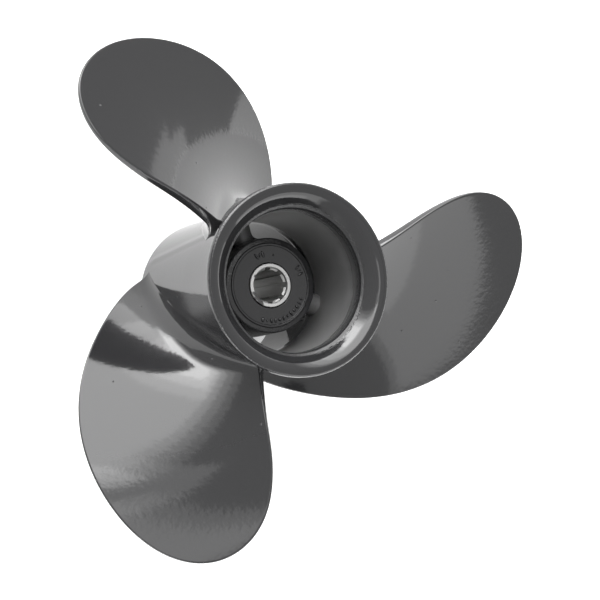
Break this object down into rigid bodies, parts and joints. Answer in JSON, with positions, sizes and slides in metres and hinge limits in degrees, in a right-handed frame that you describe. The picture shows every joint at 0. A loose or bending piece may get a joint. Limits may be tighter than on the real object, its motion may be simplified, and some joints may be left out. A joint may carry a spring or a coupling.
{
  "type": "outboard motor propeller",
  "caption": "Right-hand outboard motor propeller: a painted casting with blades round a flared exhaust barrel, a rubber cushion and a splined metal sleeve.",
  "frame": {"origin": "the propeller's centre of mass, a point on the shaft axis", "axes": "+Z along the shaft axis, pointing aft to the flared end; +Y along the first blade's reference line"},
  "size_m": [0.2105, 0.2053, 0.0965],
  "materials": {
    "casting_paint": "gloss black enamel over cast aluminium",
    "cushion_rubber": "moulded black rubber",
    "sleeve_metal": "machined bare metal"
  },
  "bodies": {
    "root": {"casting": "casting_paint", "rubber_cushion": "cushion_rubber", "splined_sleeve": "sleeve_metal"}
  },
  "joints": []
}
